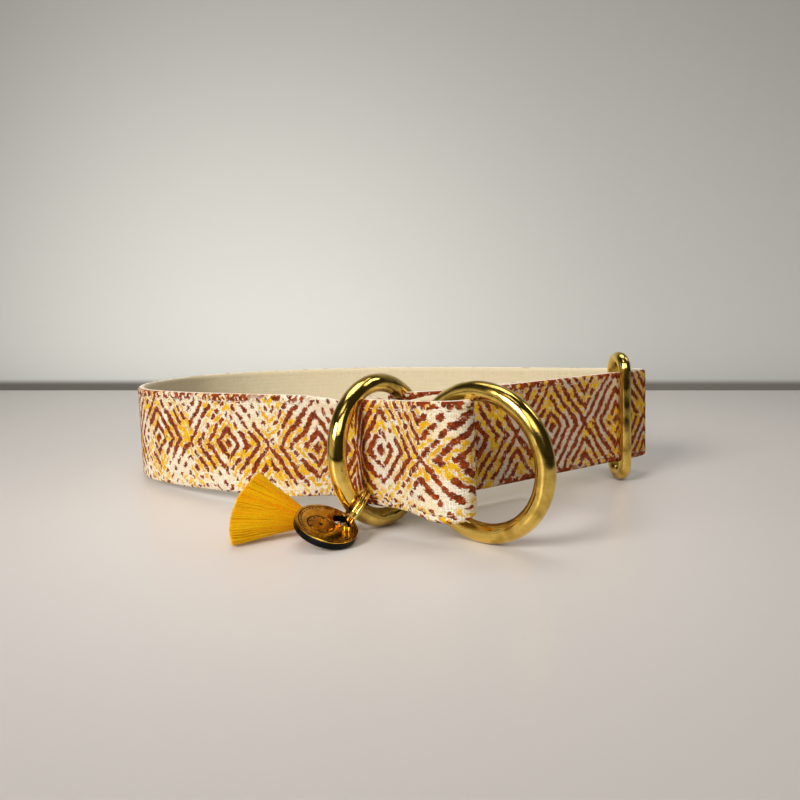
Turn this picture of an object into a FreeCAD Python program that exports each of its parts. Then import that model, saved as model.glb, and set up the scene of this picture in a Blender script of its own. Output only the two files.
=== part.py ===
"""Two-ring limited-slip dog collar with a printed cotton strap, brass hardware, a round tag and a tassel.

Millimetres, +Z up. The collar stands on its strap's edge. The origin is on the ground under the middle of
the object's box, and the two rings face -Y. The strap is one strip in the real collar. Here it is a neck
length and a leash length, which meet inside the neck ring, where the strap slips.
"""

import FreeCAD
import Part
import Sketcher

import math
import os

from FreeCAD import Placement, Rotation, Vector

doc = FreeCAD.newDocument("martingale_collar")

# ---------------------------------------------------------------- driving dimensions

SIZES = {
    "strap_width": 29.4,
    "cover_thick": 0.5,
    "webbing_thick": 1.5,
    "lining_thick": 0.6,
    "slope_along_x": 0.034,
    "slope_along_y": -0.029,
    "stitch_inset": 2.2,
    "thread_width": 0.45,
    "thread_proud": 0.25,
    "ring_wire": 5.0,
    "ring_bore": 30.8,
    "neck_ring_turn": -53.0,
    "neck_ring_lean": 6.0,
    "leash_ring_turn": 39.4,
    "leash_ring_lean": -2.5,
    "loop_low": 6.2,
    "loop_high": 24.0,
    "slip_low": 8.0,
    "slip_high": 27.0,
    "slider_wire": 4.0,
    "slider_height": 42.4,
    "slider_bars": 8.4,
    "split_wire": 1.0,
    "split_radius": 5.65,
    "split_pitch": 1.1,
    "tag_radius": 8.1,
    "tag_thick": 1.8,
    "tag_face_thick": 0.4,
    "tag_hole": 2.5,
    "tag_hole_offset": 4.85,
    "tag_chamfer": 0.2,
    "tassel_head": 2.35,
    "tassel_neck": 2.3,
    "tassel_binding": 0.45,
    "tassel_skirt": 15.0,
    "tassel_flare_high": 8.4,
    "tassel_flare_deep": 4.8,
    "tassel_cord": 0.8,
}

# Places in plan. The object's own origin is the middle of its box, which lies at PLAN_MIDDLE.
PLAN_MIDDLE = Vector(-2.0, 0.7, 0)
NECK_RING_CENTRE = (-3.9, -42.0)
LEASH_RING_CENTRE = (21.0, -59.1)
SLIDER_CENTRE = (73.83, 8.2)
SLIDER_TURN = 27.0
SPLIT_RING_CENTRE = Vector(-10.54, -52.19, 7.0)
SPLIT_RING_DROP = Vector(-0.525, -0.425, -0.737).normalize()
SPLIT_RING_DEEP = Vector(-0.205, 0.905, -0.373)
TAG_FACE_CENTRE = Vector(-17.1, -59.55, 5.25)
TAG_NORMAL = Vector(0.300, -0.247, 0.921)
TAG_HOLE_TOWARD = Vector(3.47, 3.2, -0.29)
TASSEL_HEAD_CENTRE = Vector(-22.3, -50.7, 3.5)
TASSEL_SKIRT_TOWARD = Vector(-14.7, -7.3, 4.9)
TASSEL_CORD_CATCH = Vector(-13.44, -50.18, 2.58)
TASSEL_CORD_ACROSS = Vector(-0.024, 0.951, 0.307).normalize()

sheet = doc.addObject("Spreadsheet::Sheet", "Sizes")
for row, (alias, size) in enumerate(SIZES.items(), start=1):
    sheet.set(f"A{row}", alias)
    sheet.set(f"B{row}", str(size))
    sheet.setAlias(f"B{row}", alias)
doc.recompute()


def size(alias):
    """The number that the sheet holds under this alias."""
    return float(sheet.get(alias))


STRAP_WIDTH = size("strap_width")
COVER = size("cover_thick")
WEBBING = size("webbing_thick")
LINING = size("lining_thick")
STRAP_THICK = COVER + WEBBING + LINING
OUTER_FACE = -STRAP_THICK / 2
INNER_FACE = STRAP_THICK / 2
RING_RADIUS = (size("ring_bore") + size("ring_wire")) / 2
RIGHT_BAND = Vector(0.803, 0.596, 0).normalize()

parts = []


def keep(obj, label):
    """Names a sub-part, and moves it from the plan to the object's own frame."""
    obj.Label = label
    obj.Placement = Placement(-PLAN_MIDDLE, Rotation()).multiply(obj.Placement)
    parts.append(obj)
    return obj


def feature(label, shape, placement):
    """A sub-part whose shape is made by Part's own functions."""
    obj = doc.addObject("Part::Feature", label)
    obj.Shape = shape
    obj.Placement = placement.multiply(shape.Placement)
    return keep(obj, label)


# ---------------------------------------------------------------- strap paths in plan


def point(place):
    """A plan position as a vector."""
    return Vector(place[0], place[1], 0)


def left_of(direction):
    """The plan direction a quarter turn to the left, which is towards the strap's inner face."""
    return Vector(-direction.y, direction.x, 0)


class Run:
    """A straight stretch of the strap's middle surface."""

    def __init__(self, start, end):
        self.start = point(start)
        self.end = point(end)

    def beside(self, distance):
        side = left_of((self.end - self.start).normalize()) * distance
        return Part.LineSegment(self.start + side, self.end + side).toShape()


class Bend:
    """A round bend about a centre, between two plan angles in degrees. A radius below 0 turns right."""

    def __init__(self, centre, radius, start_angle, end_angle):
        self.centre = point(centre)
        self.radius = radius
        self.angles = (start_angle, (start_angle + end_angle) / 2, end_angle)

    def beside(self, distance):
        radius = self.radius - distance
        ends = [self.centre + radius * Vector(math.cos(math.radians(a)), math.sin(math.radians(a)), 0)
                for a in self.angles]
        return Part.Arc(*ends).toShape()


def bend_between(start, direction, end):
    """The round bend that leaves one place in a direction and reaches another place."""
    chord = end - start
    radius = chord.dot(chord) / (2 * chord.dot(left_of(direction)))
    centre = start + left_of(direction) * radius
    angles = [math.degrees(math.atan2(place.y / radius, place.x / radius))
              for place in (start - centre, end - centre)]
    turn = (angles[1] - angles[0] + 180) % 360 - 180
    return Bend(centre, radius, angles[0], angles[0] + turn)


def free_stretch(places, start_direction, end_direction):
    """A smooth stretch through a few places: two round bends, which meet without a kink, for each gap."""
    spline = Part.BSplineCurve()
    directions = [point(start_direction).normalize(), point(end_direction).normalize()]
    places = [point(p) for p in places]
    spline.interpolate(Points=places, InitialTangent=directions[0], FinalTangent=directions[1])
    middle = [Vector(*spline.tangent(spline.parameter(p))[0]).normalize() for p in places[1:-1]]
    directions[1:1] = middle
    bends = []
    for i in range(len(places) - 1):
        gap = places[i + 1] - places[i]
        leaving, arriving = directions[i], directions[i + 1]
        along = gap.dot(leaving + arriving)
        opening = 2 * (1 - leaving.dot(arriving))
        reach = (math.sqrt(along * along + opening * gap.dot(gap)) - along) / opening
        join = (places[i] + places[i + 1] + (leaving - arriving) * reach) * 0.5
        bends.append(bend_between(places[i], leaving, join))
        last = bend_between(places[i + 1], -arriving, join)
        bends.append(Bend(last.centre, -last.radius, last.angles[2] + 180, last.angles[0] + 180))
    return bends


def band(path, near, far, low, high):
    """A strip along a path, between two distances from its middle surface and two heights."""
    near_edges = [piece.beside(near) for piece in path]
    far_edges = [piece.beside(far) for piece in path]
    start = Part.LineSegment(near_edges[0].firstVertex().Point, far_edges[0].firstVertex().Point)
    end = Part.LineSegment(near_edges[-1].lastVertex().Point, far_edges[-1].lastVertex().Point)
    edges = near_edges + [end.toShape()] + far_edges + [start.toShape()]
    outline = Part.Wire(Part.__sortEdges__(edges))
    solid = Part.Face(outline).extrude(Vector(0, 0, high - low))
    solid.translate(Vector(0, 0, low))
    return solid


FOLD_BACK = (86.0, 17.25)
FOLD_RADIUS = 3.0
FOLD_TURN = 111.6
fold_reach = FOLD_RADIUS * math.tan(math.radians(FOLD_TURN / 2))
back_direction = Rotation(Vector(0, 0, 1), FOLD_TURN).multVec(RIGHT_BAND)
fold_start = point(FOLD_BACK) - RIGHT_BAND * fold_reach
fold_end = point(FOLD_BACK) + back_direction * fold_reach
fold_centre = fold_start + left_of(RIGHT_BAND) * FOLD_RADIUS
right_angle = math.degrees(math.atan2(RIGHT_BAND.y, RIGHT_BAND.x))


def on_right_band(x):
    """The place on the straight right-hand stretch with a given X."""
    return (x, FOLD_BACK[1] - (FOLD_BACK[0] - x) * RIGHT_BAND.y / RIGHT_BAND.x)


RIGHT_START = on_right_band(29.5)
TAB_END = (38.3, -22.3 + 10.1 * RIGHT_BAND.y / RIGHT_BAND.x)

LEASH_FOLD_START = (15.2, -61.4)
LEASH_FOLD_DIRECTION = Vector(0.99, 0.14, 0).normalize()
LEASH_FOLD_RADIUS = 3.0
LEASH_FOLD_TURN = 102.0

ring_end_path = free_stretch(
    [(10.4, -34.4), (16.0, -32.9), (22.5, -29.6), RIGHT_START], (0.99, 0.05), RIGHT_BAND)
plain_neck_path = [
    Run(RIGHT_START, fold_start),
    Bend(fold_centre, FOLD_RADIUS, right_angle - 90, right_angle - 90 + FOLD_TURN),
    *free_stretch(
        [fold_end, (60.0, 33.4), (39.5, 46.4), (20.0, 57.4), (-2.0, 66.2), (-24.0, 71.2), (-45.0, 71.6),
         (-63.0, 66.6), (-77.0, 56.2), (-84.8, 41.0), (-86.7, 23.0), (-80.6, 4.5), (-66.0, -9.8),
         (-45.0, -23.0), (-27.0, -32.6), (-15.4, -37.0)],
        back_direction, (0.95, -0.31)),
]
neck_path = ring_end_path + plain_neck_path
loop_path = free_stretch(
    [(15.2, -28.75), (11.8, -25.2), (7.2, -22.7), (2.4, -24.4), (0.0, -28.4), (0.6, -32.6), (4.6, -35.1),
     (10.2, -34.45)],
    (-0.98, 0.1), (0.99, 0.05))
tab_path = free_stretch([(15.7, -28.9), (21.0, -27.2), (28.2, -22.3)], (0.98, 0.05), RIGHT_BAND)
tab_path.append(Run((28.2, -22.3), TAB_END))
slip_path = free_stretch(
    [(-14.2, -37.5), (-12.4, -39.4), (-9.6, -44.6), (-6.6, -49.6), (-3.6, -51.9)],
    (0.85, -0.52), (0.88, -0.47))
leash_fold_centre = point(LEASH_FOLD_START) + left_of(LEASH_FOLD_DIRECTION) * LEASH_FOLD_RADIUS
leash_angle = math.degrees(math.atan2(LEASH_FOLD_DIRECTION.y, LEASH_FOLD_DIRECTION.x))
leash_back = Rotation(Vector(0, 0, 1), LEASH_FOLD_TURN).multVec(LEASH_FOLD_DIRECTION)
leash_fold_end = leash_fold_centre - left_of(leash_back) * LEASH_FOLD_RADIUS
leash_path = [
    *free_stretch([(-3.4, -52.0), (1.0, -54.6), (6.0, -58.2), (10.8, -60.9), LEASH_FOLD_START],
          (0.88, -0.47), LEASH_FOLD_DIRECTION),
    Bend(leash_fold_centre, LEASH_FOLD_RADIUS, leash_angle - 90, leash_angle - 90 + LEASH_FOLD_TURN),
    *free_stretch([leash_fold_end, (16.2, -49.6), (11.2, -44.6), (5.6, -41.4)], leash_back, (-0.85, 0.52)),
]
# The leash length's edges are drawn in towards its fold, where the leash ring squeezes it.
DRAWN_IN_LOW = [(-30.0, 0.0), (3.0, 0.0), (12.0, 1.6), (20.5, 1.9)]
DRAWN_IN_HIGH = [(20.5, 2.75), (14.0, 2.75), (3.0, 1.0), (-6.0, 0.0), (-30.0, 0.0)]
corner_places = [Vector(x, -90, z) for x, z in DRAWN_IN_LOW]
corner_places += [Vector(x, -90, STRAP_WIDTH - z) for x, z in DRAWN_IN_HIGH]
corner_wire = Part.makePolygon(corner_places + corner_places[:1])
corner_prism = Part.Face(corner_wire).extrude(Vector(0, 90, 0))


def leash_band(near, far):
    """One layer of the leash length, with its edges drawn in."""
    return band(leash_path, near, far, 0, STRAP_WIDTH).common(corner_prism).Solids[0]


return_path = free_stretch([(5.4, -41.3), (0.6, -38.0), (-3.6, -34.6), (-7.6, -31.9)], (-0.85, 0.52),
                           (-0.85, 0.52))

# ---------------------------------------------------------------- strap tilt

tilt = Rotation(Vector(0, 0, 1), Vector(-size("slope_along_x"), -size("slope_along_y"), 1))
webbing_shape = band(neck_path, OUTER_FACE + COVER, INNER_FACE - LINING, 0, STRAP_WIDTH)
lowered = webbing_shape.copy()
lowered.Placement = Placement(Vector(0, 0, 0), tilt)
STRAP_PLACE = Placement(Vector(0, 0, -lowered.BoundBox.ZMin), tilt)

# ---------------------------------------------------------------- neck length of the strap

feature("neck_cover", band(neck_path, OUTER_FACE, OUTER_FACE + COVER, 0, STRAP_WIDTH), STRAP_PLACE)
feature("neck_webbing", webbing_shape, STRAP_PLACE)
feature("neck_lining", band(neck_path, INNER_FACE - LINING, INNER_FACE, 0, STRAP_WIDTH), STRAP_PLACE)
feature("ring_end_loop", band(loop_path, OUTER_FACE, INNER_FACE, size("loop_low"), size("loop_high")),
        STRAP_PLACE)
feature("ring_end_tab", band(tab_path, OUTER_FACE, INNER_FACE, 0, STRAP_WIDTH), STRAP_PLACE)


def past_tab(path):
    """The path from just past the end of the sewn tab."""
    return [Run(on_right_band(TAB_END[0] + 3), path[0].end)] + path[1:]


def stitch_line(path, height):
    """One line of thread on each face of the strap, with its middle at a height above the lower edge."""
    low = height - size("thread_width") / 2
    high = height + size("thread_width") / 2
    outside = band(path, OUTER_FACE - size("thread_proud"), OUTER_FACE, low, high)
    inside = band(past_tab(path), INNER_FACE, INNER_FACE + size("thread_proud"), low, high)
    return Part.makeCompound([outside, inside])


def seam(path, distance, low, high):
    """A bar of thread on one face of the strap, from one height to another."""
    return band(path, distance, distance - size("thread_proud"), low, high)


UPPER_LINE = STRAP_WIDTH - size("stitch_inset")
LOWER_LINE = size("stitch_inset")
feature("neck_stitch_upper", stitch_line(plain_neck_path, UPPER_LINE), STRAP_PLACE)
feature("neck_stitch_lower", stitch_line(plain_neck_path, LOWER_LINE), STRAP_PLACE)

SEAM_BAR = 0.9
seam_shapes = []
for along in (30.5, 36.5):
    low_end = point(on_right_band(along))
    bar_path = [Run(low_end, low_end + RIGHT_BAND * SEAM_BAR)]
    seam_shapes.append(seam(bar_path, OUTER_FACE, LOWER_LINE + 1, UPPER_LINE - 1))
feature("ring_end_seam", Part.makeCompound(seam_shapes), STRAP_PLACE)

# ---------------------------------------------------------------- leash length of the strap

feature("slip_length", band(slip_path, OUTER_FACE, INNER_FACE, size("slip_low"), size("slip_high")),
        STRAP_PLACE)
feature("leash_cover", leash_band(OUTER_FACE, OUTER_FACE + COVER), STRAP_PLACE)
feature("leash_webbing", leash_band(OUTER_FACE + COVER, INNER_FACE - LINING), STRAP_PLACE)
feature("leash_lining", leash_band(INNER_FACE - LINING, INNER_FACE), STRAP_PLACE)
feature("leash_return_end", band(return_path, OUTER_FACE, INNER_FACE, size("slip_low"), size("slip_high")),
        STRAP_PLACE)


def outer_stitch(path, height):
    """A line of thread on the strap's outer face only."""
    low = height - size("thread_width") / 2
    return band(path, OUTER_FACE - size("thread_proud"), OUTER_FACE, low, low + size("thread_width"))


feature("leash_stitch_upper", outer_stitch(leash_path, UPPER_LINE - 1), STRAP_PLACE)
feature("leash_stitch_lower", outer_stitch(leash_path, LOWER_LINE), STRAP_PLACE)
FRONT_SEAM_START = Vector(-1.6, -53.1, 0)
FRONT_SEAM_DIRECTION = Vector(0.86, -0.51, 0).normalize()
front_seam_path = [Run(FRONT_SEAM_START, FRONT_SEAM_START + FRONT_SEAM_DIRECTION * SEAM_BAR)]
feature("leash_seam", seam(front_seam_path, OUTER_FACE, LOWER_LINE + 1, UPPER_LINE - 2), STRAP_PLACE)

# ---------------------------------------------------------------- brass hardware


def ring_place(centre, turn, lean):
    """A ring standing on the ground, turned about the vertical and leaning about its own width."""
    stand = Rotation(Vector(1, 0, 0), 90)
    leaned = Rotation(Vector(1, 0, 0), -lean)
    turned = Rotation(Vector(0, 0, 1), -turn)
    height = RING_RADIUS * math.cos(math.radians(lean)) + size("ring_wire") / 2
    return Placement(Vector(centre[0], centre[1], height), turned.multiply(leaned).multiply(stand))


def brass_ring(label, centre, turn, lean):
    """A welded round ring of brass wire."""
    ring = doc.addObject("Part::Torus", label)
    ring.setExpression("Radius1", "(Sizes.ring_bore + Sizes.ring_wire) / 2")
    ring.setExpression("Radius2", "Sizes.ring_wire / 2")
    ring.Placement = ring_place(centre, size(turn), size(lean))
    return keep(ring, label)


brass_ring("neck_ring", NECK_RING_CENTRE, "neck_ring_turn", "neck_ring_lean")
brass_ring("leash_ring", LEASH_RING_CENTRE, "leash_ring_turn", "leash_ring_lean")


def origin_plane(body, role):
    """One of a body's own origin planes."""
    for plane in body.Origin.OriginFeatures:
        if plane.Role == role:
            return plane
    raise ValueError(role)


def sketch_on(body, role, name):
    """A new sketch on one of a body's own origin planes."""
    sketch = body.newObject("Sketcher::SketchObject", name)
    sketch.AttachmentSupport = [(origin_plane(body, role), "")]
    sketch.MapMode = "FlatFace"
    return sketch


def circle_sketch(body, role, name, place, radius_rule):
    """A sketch of one circle at a fixed place, whose radius follows the sheet."""
    sketch = sketch_on(body, role, name)
    sketch.addGeometry(Part.Circle(Vector(place[0], place[1], 0), Vector(0, 0, 1), 1.0))
    sketch.addConstraint(Sketcher.Constraint("DistanceX", -1, 1, 0, 3, place[0]))
    sketch.addConstraint(Sketcher.Constraint("DistanceY", -1, 1, 0, 3, place[1]))
    sketch.addConstraint(Sketcher.Constraint("Radius", 0, 1.0))
    sketch.setExpression("Constraints[2]", radius_rule)
    return sketch


slider = doc.addObject("PartDesign::Body", "slider")
half_gap = size("slider_bars") / 2
half_bar = size("slider_height") / 2 - size("slider_wire") / 2 - half_gap
loop = sketch_on(slider, "XZ_Plane", "slider_loop")
loop.addGeometry(Part.LineSegment(Vector(half_gap, -half_bar, 0), Vector(half_gap, half_bar, 0)))
loop.addGeometry(Part.Arc(Vector(half_gap, half_bar, 0), Vector(0, half_bar + half_gap, 0),
                          Vector(-half_gap, half_bar, 0)))
loop.addGeometry(Part.LineSegment(Vector(-half_gap, half_bar, 0), Vector(-half_gap, -half_bar, 0)))
loop.addGeometry(Part.Arc(Vector(-half_gap, -half_bar, 0), Vector(0, -half_bar - half_gap, 0),
                          Vector(half_gap, -half_bar, 0)))
wire = circle_sketch(slider, "XY_Plane", "slider_wire", (half_gap, 0), "Sizes.slider_wire / 2")
doc.recompute()
pipe = slider.newObject("PartDesign::AdditivePipe", "slider_pipe")
pipe.Profile = wire
pipe.Spine = (loop, ["Edge1", "Edge2", "Edge3", "Edge4"])
# The slider stands askew on the strap, its back bar nearer to the fold.
slider_turn = Rotation(Vector(0, 0, 1), right_angle - 90 - SLIDER_TURN)
slider_base = Placement(Vector(SLIDER_CENTRE[0], SLIDER_CENTRE[1], STRAP_WIDTH / 2), slider_turn)
slider.Placement = STRAP_PLACE.multiply(slider_base)
keep(slider, "slider")


def facing(origin, forward, upward):
    """A placement whose X axis is forward and whose Z axis is upward, as nearly as they allow."""
    side = upward.cross(forward)
    return Placement(origin, Rotation(forward, side, upward, "ZXY"))


SPLIT_TURNS = 1.85
SPLIT_START_ANGLE = 16.0
split_wire = size("split_wire")
helix = Part.makeHelix(size("split_pitch"), size("split_pitch") * SPLIT_TURNS, size("split_radius"))
section = Part.Wire(Part.makeCircle(split_wire / 2, Vector(size("split_radius"), 0, 0), Vector(0, 1, 0)))
coil = Part.Wire(helix.Edges).makePipeShell([section], True, True)
coil.translate(Vector(0, 0, -size("split_pitch") * SPLIT_TURNS / 2))
coil.rotate(Vector(0, 0, 0), Vector(0, 0, 1), SPLIT_START_ANGLE)
split_axis = SPLIT_RING_DROP.cross(SPLIT_RING_DEEP)
feature("split_ring", coil, facing(SPLIT_RING_CENTRE, SPLIT_RING_DROP, split_axis))

# ---------------------------------------------------------------- tag


def disc(label, thick_alias, top):
    """A round plate with a hole near its edge. Its upper face is at a height above the body's plane."""
    body = doc.addObject("PartDesign::Body", label)
    outline = circle_sketch(body, "XY_Plane", label + "_outline", (0, 0), "Sizes.tag_radius")
    hole = circle_sketch(body, "XY_Plane", label + "_hole", (size("tag_hole_offset"), 0), "Sizes.tag_hole")
    pad = body.newObject("PartDesign::Pad", label + "_pad")
    pad.Profile = outline
    pad.setExpression("Length", "Sizes." + thick_alias)
    doc.recompute()
    pocket = body.newObject("PartDesign::Pocket", label + "_pocket")
    pocket.Profile = hole
    pocket.Type = "ThroughAll"
    pocket.Midplane = True
    doc.recompute()
    if pocket.Shape.Volume >= pad.Shape.Volume:
        raise ValueError(label + " has no hole")
    body.Placement = facing(TAG_FACE_CENTRE, TAG_HOLE_TOWARD, TAG_NORMAL).multiply(
        Placement(Vector(0, 0, top - size(thick_alias)), Rotation()))
    return body


tag_disc = disc("tag_disc", "tag_thick", -size("tag_face_thick"))
chamfer = tag_disc.newObject("PartDesign::Chamfer", "tag_disc_chamfer")
rim_edges = [f"Edge{i}" for i, edge in enumerate(tag_disc.Shape.Edges, start=1)
             if abs(edge.Length - 2 * math.pi * size("tag_radius")) < 0.01
             and edge.BoundBox.Center.distanceToPoint(tag_disc.Placement.Base) < 0.5]
chamfer.Base = (tag_disc.Group[-2], rim_edges)
chamfer.setExpression("Size", "Sizes.tag_chamfer")
keep(tag_disc, "tag_disc")
keep(disc("tag_face", "tag_face_thick", 0.0), "tag_face")

# ---------------------------------------------------------------- tassel

tassel_place = facing(TASSEL_HEAD_CENTRE, Vector(0, 0, 1), TASSEL_SKIRT_TOWARD.normalize())
head_radius = size("tassel_head")
neck_radius = size("tassel_neck")

head = doc.addObject("PartDesign::Body", "tassel_head")
profile = sketch_on(head, "XZ_Plane", "tassel_head_profile")
head_end = head_radius * 0.62
rim_radius = math.sqrt(head_radius ** 2 - head_end ** 2)
profile.addGeometry(Part.Arc(Vector(0, -head_radius, 0), Vector(head_radius, 0, 0),
                             Vector(rim_radius, head_end, 0)))
profile.addGeometry(Part.LineSegment(Vector(rim_radius, head_end, 0), Vector(0, head_end, 0)))
profile.addGeometry(Part.LineSegment(Vector(0, head_end, 0), Vector(0, -head_radius, 0)))
turned = head.newObject("PartDesign::Revolution", "tassel_head_turned")
turned.Profile = profile
turned.ReferenceAxis = (profile, ["V_Axis"])
turned.Angle = 360
head.Placement = tassel_place
keep(head, "tassel_head")

binding = doc.addObject("Part::Torus", "tassel_binding")
binding.setExpression("Radius1", "Sizes.tassel_neck")
binding.setExpression("Radius2", "Sizes.tassel_binding")
binding.Placement = tassel_place.multiply(Placement(Vector(0, 0, head_end + 0.2), Rotation()))
keep(binding, "tassel_binding")


def oval(height, half_high, half_deep):
    """An oval outline across the tassel, at a distance along it."""
    long_way = Vector(1, 0, 0) if half_high >= half_deep else Vector(0, 1, 0)
    across = Vector(0, 1, 0) if half_high >= half_deep else Vector(-1, 0, 0)
    big, small = max(half_high, half_deep), min(half_high, half_deep)
    middle = Vector(0, 0, height)
    return Part.Wire(Part.Ellipse(middle + long_way * big, middle + across * small, middle).toShape())


SKIRT_START = head_end + 0.05
high, deep = size("tassel_flare_high"), size("tassel_flare_deep")
length = size("tassel_skirt")
skirt = Part.makeLoft([
    oval(SKIRT_START, neck_radius - 0.75, neck_radius - 0.85),
    oval(SKIRT_START + length * 0.35, high * 0.52, deep * 0.66),
    oval(SKIRT_START + length, high, deep),
], True)
feature("tassel_skirt", skirt, tassel_place)

cord_radius = size("tassel_cord") / 2
catch = TASSEL_CORD_CATCH - TASSEL_HEAD_CENTRE
CORD_EYE = 1.8
reach = catch.Length + 0.7
cord_start = head_radius + 0.02
cord_path = Part.Wire([
    Part.LineSegment(Vector(cord_start, 0.45, 0), Vector(reach - 1, CORD_EYE, 0)).toShape(),
    Part.Arc(Vector(reach - 1, CORD_EYE, 0), Vector(reach - 1 + CORD_EYE, 0, 0),
             Vector(reach - 1, -CORD_EYE, 0)).toShape(),
    Part.LineSegment(Vector(reach - 1, -CORD_EYE, 0), Vector(cord_start, -0.45, 0)).toShape(),
])
first_edge = cord_path.Edges[0]
cord_section = Part.Wire(Part.makeCircle(cord_radius, Vector(cord_start, 0.45, 0),
                                         first_edge.tangentAt(first_edge.FirstParameter)))
cord = cord_path.makePipeShell([cord_section], True, False, 2)
feature("tassel_cord", cord, facing(TASSEL_HEAD_CENTRE, catch, TASSEL_CORD_ACROSS))

# ---------------------------------------------------------------- checks and files

doc.recompute()
for obj in doc.Objects:
    if "Invalid" in obj.State or "Error" in obj.State:
        raise ValueError(f"{obj.Name}: {obj.State}")
for obj in parts:
    if obj.Shape.isNull() or not obj.Shape.isValid() or not obj.Shape.Solids:
        raise ValueError(f"{obj.Label} is not a valid solid")

os.makedirs("parts", exist_ok=True)
for obj in parts:
    obj.Shape.exportStep(f"parts/{obj.Label}.step")
    box = obj.Shape.optimalBoundingBox()
    print(f"{obj.Label:22s} {obj.Shape.Volume:9.1f} mm3  x {box.XMin:7.2f} {box.XMax:7.2f}"
          f"  y {box.YMin:7.2f} {box.YMax:7.2f}  z {box.ZMin:6.2f} {box.ZMax:6.2f}")
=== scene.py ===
import math

import bpy
import numpy as np
from mathutils import Matrix, Vector, noise


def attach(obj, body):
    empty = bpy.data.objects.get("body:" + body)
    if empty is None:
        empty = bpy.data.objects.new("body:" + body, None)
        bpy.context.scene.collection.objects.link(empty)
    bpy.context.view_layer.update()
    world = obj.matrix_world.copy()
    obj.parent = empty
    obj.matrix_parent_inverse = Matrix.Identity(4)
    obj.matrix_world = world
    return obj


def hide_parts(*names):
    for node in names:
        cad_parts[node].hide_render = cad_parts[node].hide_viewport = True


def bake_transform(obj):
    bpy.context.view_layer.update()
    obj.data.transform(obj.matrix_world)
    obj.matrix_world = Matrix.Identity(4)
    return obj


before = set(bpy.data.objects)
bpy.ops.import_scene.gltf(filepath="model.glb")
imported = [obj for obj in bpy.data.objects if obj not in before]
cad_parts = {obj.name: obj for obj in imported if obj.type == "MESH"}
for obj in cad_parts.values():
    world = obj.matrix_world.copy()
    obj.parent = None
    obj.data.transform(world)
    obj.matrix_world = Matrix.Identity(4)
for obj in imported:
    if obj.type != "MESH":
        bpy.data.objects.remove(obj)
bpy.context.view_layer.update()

MM = 0.001

# ---- sizes of the collar, in millimetres

STRAP_WIDTH = 29.4
HALF_WIDTH = STRAP_WIDTH / 2
STRAP_THICK = 2.6
STRAP_LIFT = 4.285
STRAP_UP = Vector((-0.034, 0.029, 1.0))
PLAN_SHIFT = np.array([2.0, -0.7, 0.0])
STITCH_INSET = 2.2
RING_WIRE = 5.0
RING_RADIUS = 17.9

# ---- the strap's line in plan


def arc(centre, radius, start, end, steps):
    """Places along a round bend, from one plan angle to another, in degrees."""
    angles = np.radians(np.linspace(start, end, steps + 1))
    return [(centre[0] + radius * math.cos(a), centre[1] + radius * math.sin(a)) for a in angles]


TAB_AND_LOOP = [
    (38.3, -14.8), (28.2, -22.3), (21.0, -27.2), (15.9, -29.4), (11.8, -25.2), (7.2, -22.7), (2.4, -24.4),
    (0.0, -28.4), (0.6, -32.6), (4.6, -35.1), (10.3, -34.42),
]
RIGHT_BAND = [(16.0, -32.9), (22.5, -29.6), (29.5, -24.68), (50.0, -9.46), (68.0, 3.9)]
RIGHT_FOLD = arc((80.67, 16.996), 3.0, -53.4, 58.2, 6)
BACK_AND_LEFT = [
    (60.0, 33.4), (39.5, 46.4), (20.0, 57.4), (-2.0, 66.2), (-24.0, 71.2), (-45.0, 71.6), (-63.0, 66.6),
    (-77.0, 56.2), (-84.8, 41.0), (-86.7, 23.0), (-80.6, 4.5), (-66.0, -9.8), (-45.0, -23.0),
    (-27.0, -32.6), (-15.4, -37.0),
]
THROUGH_RING = [(-12.4, -39.4), (-9.6, -44.6), (-6.6, -49.6), (-3.5, -51.95)]
FRONT_BAND = [(1.0, -54.6), (6.0, -58.2), (10.8, -60.9)]
LEASH_FOLD = arc((14.78, -58.43), 3.0, -81.95, 20.05, 6)
RETURN_LAYER = [(16.2, -49.6), (11.2, -44.6), (5.5, -41.35), (0.6, -38.0), (-3.6, -34.6), (-7.6, -31.9)]

STRIP_STEP = 0.8


def smooth_line(places, step=0.2):
    """A smooth line through the places, with even steps."""
    p = np.array(places, float)
    gaps = np.linalg.norm(np.diff(p, axis=0), axis=1)
    slopes = np.zeros_like(p)
    slopes[1:-1] = ((p[2:] - p[1:-1]) / gaps[1:, None] * gaps[:-1, None]
                    + (p[1:-1] - p[:-2]) / gaps[:-1, None] * gaps[1:, None]) / (gaps[:-1] + gaps[1:])[:, None]
    slopes[0] = 2 * (p[1] - p[0]) / gaps[0] - slopes[1]
    slopes[-1] = 2 * (p[-1] - p[-2]) / gaps[-1] - slopes[-2]
    pieces = []
    for i, gap in enumerate(gaps):
        t = np.linspace(0, 1, max(2, math.ceil(gap / step)), endpoint=False)[:, None]
        pieces.append((2 * t**3 - 3 * t**2 + 1) * p[i] + (t**3 - 2 * t**2 + t) * gap * slopes[i]
                      + (3 * t**2 - 2 * t**3) * p[i + 1] + (t**3 - t**2) * gap * slopes[i + 1])
    return np.vstack(pieces + [p[-1:]])


def even_steps(line, step):
    """The line cut into even steps, and the distance along it of each."""
    along = np.concatenate([[0], np.cumsum(np.linalg.norm(np.diff(line, axis=0), axis=1))])
    wanted = np.linspace(0, along[-1], int(round(along[-1] / step)) + 1)
    return np.stack([np.interp(wanted, along, line[:, k]) for k in range(line.shape[1])], 1), wanted


strip_line, strip_along = even_steps(
    smooth_line(TAB_AND_LOOP + RIGHT_BAND + RIGHT_FOLD + BACK_AND_LEFT + THROUGH_RING + FRONT_BAND
                + LEASH_FOLD + RETURN_LAYER), STRIP_STEP)
strip_ahead = np.gradient(strip_line, axis=0)
strip_ahead /= np.linalg.norm(strip_ahead, axis=1)[:, None]
strip_left = np.stack([-strip_ahead[:, 1], strip_ahead[:, 0]], 1)

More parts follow.
